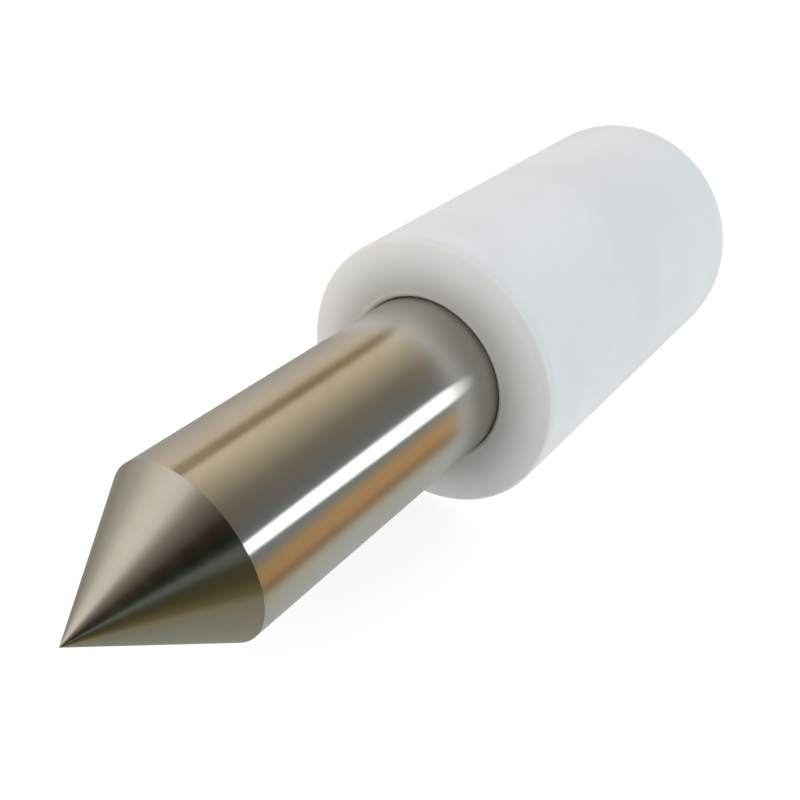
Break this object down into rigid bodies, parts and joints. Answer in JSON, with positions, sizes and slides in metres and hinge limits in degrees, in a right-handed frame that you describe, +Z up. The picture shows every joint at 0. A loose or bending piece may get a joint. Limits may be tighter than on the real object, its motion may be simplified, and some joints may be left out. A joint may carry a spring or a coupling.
{
  "type": "live center",
  "caption": "Live center with a conical steel point on a ball-bearing spindle in a white plastic cylinder; it holds a turning workpiece's end in a lathe.",
  "frame": {"origin": "centre of the rear mounting face, on the spindle's axis", "axes": "+X along the spindle's axis from the rear face towards the tip of the point, +Z up as the part lies on its side"},
  "size_m": [0.1231, 0.04, 0.04],
  "materials": {
    "spindle_steel": "ground and polished",
    "housing_plastic": "turned satin white",
    "ring_steel": "ground",
    "ball_steel": "lapped to a mirror",
    "shield_steel": "pressed sheet",
    "cage_polymer": "moulded natural polyamide",
    "cage_steel": "pressed sheet",
    "plug_steel": "fine turned",
    "spring_steel": "rolled strip",
    "circlip_steel": "phosphated, dark",
    "seal_rubber": "moulded, matte black"
  },
  "bodies": {
    "housing": {"housing": "housing_plastic", "front_seal": "seal_rubber", "rear_plug": "plug_steel", "preload_wave_washer": "spring_steel", "thrust_bearing_housing_washer": "ring_steel", "front_bearing_outer_ring": "ring_steel", "front_bearing_shield_back": "shield_steel", "front_bearing_shield_front": "shield_steel", "rear_bearing_outer_ring": "ring_steel", "rear_bearing_shield_back": "shield_steel", "rear_bearing_shield_front": "shield_steel"},
    "spindle": {"spindle": "spindle_steel", "front_bearing_inner_ring": "ring_steel", "spacer_sleeve": "plug_steel", "rear_bearing_inner_ring": "ring_steel", "shaft_circlip": "circlip_steel", "thrust_bearing_shaft_washer": "ring_steel"},
    "front_cage": {"front_bearing_cage": "cage_polymer"},
    "front_ball_1": {"front_bearing_ball_1": "ball_steel"},
    "front_ball_2": {"front_bearing_ball_2": "ball_steel"},
    "front_ball_3": {"front_bearing_ball_3": "ball_steel"},
    "front_ball_4": {"front_bearing_ball_4": "ball_steel"},
    "front_ball_5": {"front_bearing_ball_5": "ball_steel"},
    "front_ball_6": {"front_bearing_ball_6": "ball_steel"},
    "front_ball_7": {"front_bearing_ball_7": "ball_steel"},
    "front_ball_8": {"front_bearing_ball_8": "ball_steel"},
    "front_ball_9": {"front_bearing_ball_9": "ball_steel"},
    "rear_cage": {"rear_bearing_cage": "cage_polymer"},
    "rear_ball_1": {"rear_bearing_ball_1": "ball_steel"},
    "rear_ball_2": {"rear_bearing_ball_2": "ball_steel"},
    "rear_ball_3": {"rear_bearing_ball_3": "ball_steel"},
    "rear_ball_4": {"rear_bearing_ball_4": "ball_steel"},
    "rear_ball_5": {"rear_bearing_ball_5": "ball_steel"},
    "rear_ball_6": {"rear_bearing_ball_6": "ball_steel"},
    "rear_ball_7": {"rear_bearing_ball_7": "ball_steel"},
    "rear_ball_8": {"rear_bearing_ball_8": "ball_steel"},
    "rear_ball_9": {"rear_bearing_ball_9": "ball_steel"},
    "thrust_cage": {"thrust_bearing_cage": "cage_steel"},
    "thrust_ball_1": {"thrust_bearing_ball_1": "ball_steel"},
    "thrust_ball_2": {"thrust_bearing_ball_2": "ball_steel"},
    "thrust_ball_3": {"thrust_bearing_ball_3": "ball_steel"},
    "thrust_ball_4": {"thrust_bearing_ball_4": "ball_steel"},
    "thrust_ball_5": {"thrust_bearing_ball_5": "ball_steel"},
    "thrust_ball_6": {"thrust_bearing_ball_6": "ball_steel"},
    "thrust_ball_7": {"thrust_bearing_ball_7": "ball_steel"},
    "thrust_ball_8": {"thrust_bearing_ball_8": "ball_steel"},
    "thrust_ball_9": {"thrust_bearing_ball_9": "ball_steel"},
    "thrust_ball_10": {"thrust_bearing_ball_10": "ball_steel"}
  },
  "joints": [
    {"name": "spindle_spin", "type": "hinge", "parent": "housing", "child": "spindle", "pos_m": [0, 0, 0], "axis": [1, 0, 0], "continuous": true},
    {"name": "front_cage_orbit", "type": "hinge", "parent": "housing", "child": "front_cage", "pos_m": [0.0495, 0, 0], "axis": [1, 0, 0], "continuous": true},
    {"name": "front_ball_1_spin", "type": "hinge", "parent": "front_cage", "child": "front_ball_1", "pos_m": [0.0495, 0, 0.01175], "axis": [1, 0, 0], "continuous": true},
    {"name": "front_ball_2_spin", "type": "hinge", "parent": "front_cage", "child": "front_ball_2", "pos_m": [0.0495, -0.00755, 0.009], "axis": [1, 0, 0], "continuous": true},
    {"name": "front_ball_3_spin", "type": "hinge", "parent": "front_cage", "child": "front_ball_3", "pos_m": [0.0495, -0.01157, 0.00204], "axis": [1, 0, 0], "continuous": true},
    {"name": "front_ball_4_spin", "type": "hinge", "parent": "front_cage", "child": "front_ball_4", "pos_m": [0.0495, -0.01018, -0.00588], "axis": [1, 0, 0], "continuous": true},
    {"name": "front_ball_5_spin", "type": "hinge", "parent": "front_cage", "child": "front_ball_5", "pos_m": [0.0495, -0.00402, -0.01104], "axis": [1, 0, 0], "continuous": true},
    {"name": "front_ball_6_spin", "type": "hinge", "parent": "front_cage", "child": "front_ball_6", "pos_m": [0.0495, 0.00402, -0.01104], "axis": [1, 0, 0], "continuous": true},
    {"name": "front_ball_7_spin", "type": "hinge", "parent": "front_cage", "child": "front_ball_7", "pos_m": [0.0495, 0.01018, -0.00588], "axis": [1, 0, 0], "continuous": true},
    {"name": "front_ball_8_spin", "type": "hinge", "parent": "front_cage", "child": "front_ball_8", "pos_m": [0.0495, 0.01157, 0.00204], "axis": [1, 0, 0], "continuous": true},
    {"name": "front_ball_9_spin", "type": "hinge", "parent": "front_cage", "child": "front_ball_9", "pos_m": [0.0495, 0.00755, 0.009], "axis": [1, 0, 0], "continuous": true},
    {"name": "rear_cage_orbit", "type": "hinge", "parent": "housing", "child": "rear_cage", "pos_m": [0.0285, 0, 0], "axis": [1, 0, 0], "continuous": true},
    {"name": "rear_ball_1_spin", "type": "hinge", "parent": "rear_cage", "child": "rear_ball_1", "pos_m": [0.0285, 0, 0.01175], "axis": [1, 0, 0], "continuous": true},
    {"name": "rear_ball_2_spin", "type": "hinge", "parent": "rear_cage", "child": "rear_ball_2", "pos_m": [0.0285, -0.00755, 0.009], "axis": [1, 0, 0], "continuous": true},
    {"name": "rear_ball_3_spin", "type": "hinge", "parent": "rear_cage", "child": "rear_ball_3", "pos_m": [0.0285, -0.01157, 0.00204], "axis": [1, 0, 0], "continuous": true},
    {"name": "rear_ball_4_spin", "type": "hinge", "parent": "rear_cage", "child": "rear_ball_4", "pos_m": [0.0285, -0.01018, -0.00588], "axis": [1, 0, 0], "continuous": true},
    {"name": "rear_ball_5_spin", "type": "hinge", "parent": "rear_cage", "child": "rear_ball_5", "pos_m": [0.0285, -0.00402, -0.01104], "axis": [1, 0, 0], "continuous": true},
    {"name": "rear_ball_6_spin", "type": "hinge", "parent": "rear_cage", "child": "rear_ball_6", "pos_m": [0.0285, 0.00402, -0.01104], "axis": [1, 0, 0], "continuous": true},
    {"name": "rear_ball_7_spin", "type": "hinge", "parent": "rear_cage", "child": "rear_ball_7", "pos_m": [0.0285, 0.01018, -0.00588], "axis": [1, 0, 0], "continuous": true},
    {"name": "rear_ball_8_spin", "type": "hinge", "parent": "rear_cage", "child": "rear_ball_8", "pos_m": [0.0285, 0.01157, 0.00204], "axis": [1, 0, 0], "continuous": true},
    {"name": "rear_ball_9_spin", "type": "hinge", "parent": "rear_cage", "child": "rear_ball_9", "pos_m": [0.0285, 0.00755, 0.009], "axis": [1, 0, 0], "continuous": true},
    {"name": "thrust_cage_orbit", "type": "hinge", "parent": "housing", "child": "thrust_cage", "pos_m": [0.0165, 0, 0], "axis": [1, 0, 0], "continuous": true},
    {"name": "thrust_ball_1_spin", "type": "hinge", "parent": "thrust_cage", "child": "thrust_ball_1", "pos_m": [0.0165, 0, 0.0095], "axis": [0, 0, 1], "continuous": true},
    {"name": "thrust_ball_2_spin", "type": "hinge", "parent": "thrust_cage", "child": "thrust_ball_2", "pos_m": [0.0165, -0.00558, 0.00769], "axis": [0, -0.5878, 0.809], "continuous": true},
    {"name": "thrust_ball_3_spin", "type": "hinge", "parent": "thrust_cage", "child": "thrust_ball_3", "pos_m": [0.0165, -0.00903, 0.00294], "axis": [0, -0.9511, 0.309], "continuous": true},
    {"name": "thrust_ball_4_spin", "type": "hinge", "parent": "thrust_cage", "child": "thrust_ball_4", "pos_m": [0.0165, -0.00903, -0.00294], "axis": [0, -0.9511, -0.309], "continuous": true},
    {"name": "thrust_ball_5_spin", "type": "hinge", "parent": "thrust_cage", "child": "thrust_ball_5", "pos_m": [0.0165, -0.00558, -0.00769], "axis": [0, -0.5878, -0.809], "continuous": true},
    {"name": "thrust_ball_6_spin", "type": "hinge", "parent": "thrust_cage", "child": "thrust_ball_6", "pos_m": [0.0165, 0, -0.0095], "axis": [0, 0, -1], "continuous": true},
    {"name": "thrust_ball_7_spin", "type": "hinge", "parent": "thrust_cage", "child": "thrust_ball_7", "pos_m": [0.0165, 0.00558, -0.00769], "axis": [0, 0.5878, -0.809], "continuous": true},
    {"name": "thrust_ball_8_spin", "type": "hinge", "parent": "thrust_cage", "child": "thrust_ball_8", "pos_m": [0.0165, 0.00903, -0.00294], "axis": [0, 0.9511, -0.309], "continuous": true},
    {"name": "thrust_ball_9_spin", "type": "hinge", "parent": "thrust_cage", "child": "thrust_ball_9", "pos_m": [0.0165, 0.00903, 0.00294], "axis": [0, 0.9511, 0.309], "continuous": true},
    {"name": "thrust_ball_10_spin", "type": "hinge", "parent": "thrust_cage", "child": "thrust_ball_10", "pos_m": [0.0165, 0.00558, 0.00769], "axis": [0, 0.5878, 0.809], "continuous": true}
  ],
  "couplings": [
    {"joint": "front_cage_orbit", "follows": "spindle_spin", "ratio": 0.39868},
    {"joint": "front_ball_1_spin", "follows": "spindle_spin", "ratio": -2.3661},
    {"joint": "front_ball_2_spin", "follows": "spindle_spin", "ratio": -2.3661},
    {"joint": "front_ball_3_spin", "follows": "spindle_spin", "ratio": -2.3661},
    {"joint": "front_ball_4_spin", "follows": "spindle_spin", "ratio": -2.3661},
    {"joint": "front_ball_5_spin", "follows": "spindle_spin", "ratio": -2.3661},
    {"joint": "front_ball_6_spin", "follows": "spindle_spin", "ratio": -2.3661},
    {"joint": "front_ball_7_spin", "follows": "spindle_spin", "ratio": -2.3661},
    {"joint": "front_ball_8_spin", "follows": "spindle_spin", "ratio": -2.3661},
    {"joint": "front_ball_9_spin", "follows": "spindle_spin", "ratio": -2.3661},
    {"joint": "rear_cage_orbit", "follows": "spindle_spin", "ratio": 0.39868},
    {"joint": "rear_ball_1_spin", "follows": "spindle_spin", "ratio": -2.3661},
    {"joint": "rear_ball_2_spin", "follows": "spindle_spin", "ratio": -2.3661},
    {"joint": "rear_ball_3_spin", "follows": "spindle_spin", "ratio": -2.3661},
    {"joint": "rear_ball_4_spin", "follows": "spindle_spin", "ratio": -2.3661},
    {"joint": "rear_ball_5_spin", "follows": "spindle_spin", "ratio": -2.3661},
    {"joint": "rear_ball_6_spin", "follows": "spindle_spin", "ratio": -2.3661},
    {"joint": "rear_ball_7_spin", "follows": "spindle_spin", "ratio": -2.3661},
    {"joint": "rear_ball_8_spin", "follows": "spindle_spin", "ratio": -2.3661},
    {"joint": "rear_ball_9_spin", "follows": "spindle_spin", "ratio": -2.3661},
    {"joint": "thrust_cage_orbit", "follows": "spindle_spin", "ratio": 0.5},
    {"joint": "thrust_ball_1_spin", "follows": "spindle_spin", "ratio": -1.995},
    {"joint": "thrust_ball_2_spin", "follows": "spindle_spin", "ratio": -1.995},
    {"joint": "thrust_ball_3_spin", "follows": "spindle_spin", "ratio": -1.995},
    {"joint": "thrust_ball_4_spin", "follows": "spindle_spin", "ratio": -1.995},
    {"joint": "thrust_ball_5_spin", "follows": "spindle_spin", "ratio": -1.995},
    {"joint": "thrust_ball_6_spin", "follows": "spindle_spin", "ratio": -1.995},
    {"joint": "thrust_ball_7_spin", "follows": "spindle_spin", "ratio": -1.995},
    {"joint": "thrust_ball_8_spin", "follows": "spindle_spin", "ratio": -1.995},
    {"joint": "thrust_ball_9_spin", "follows": "spindle_spin", "ratio": -1.995},
    {"joint": "thrust_ball_10_spin", "follows": "spindle_spin", "ratio": -1.995}
  ]
}
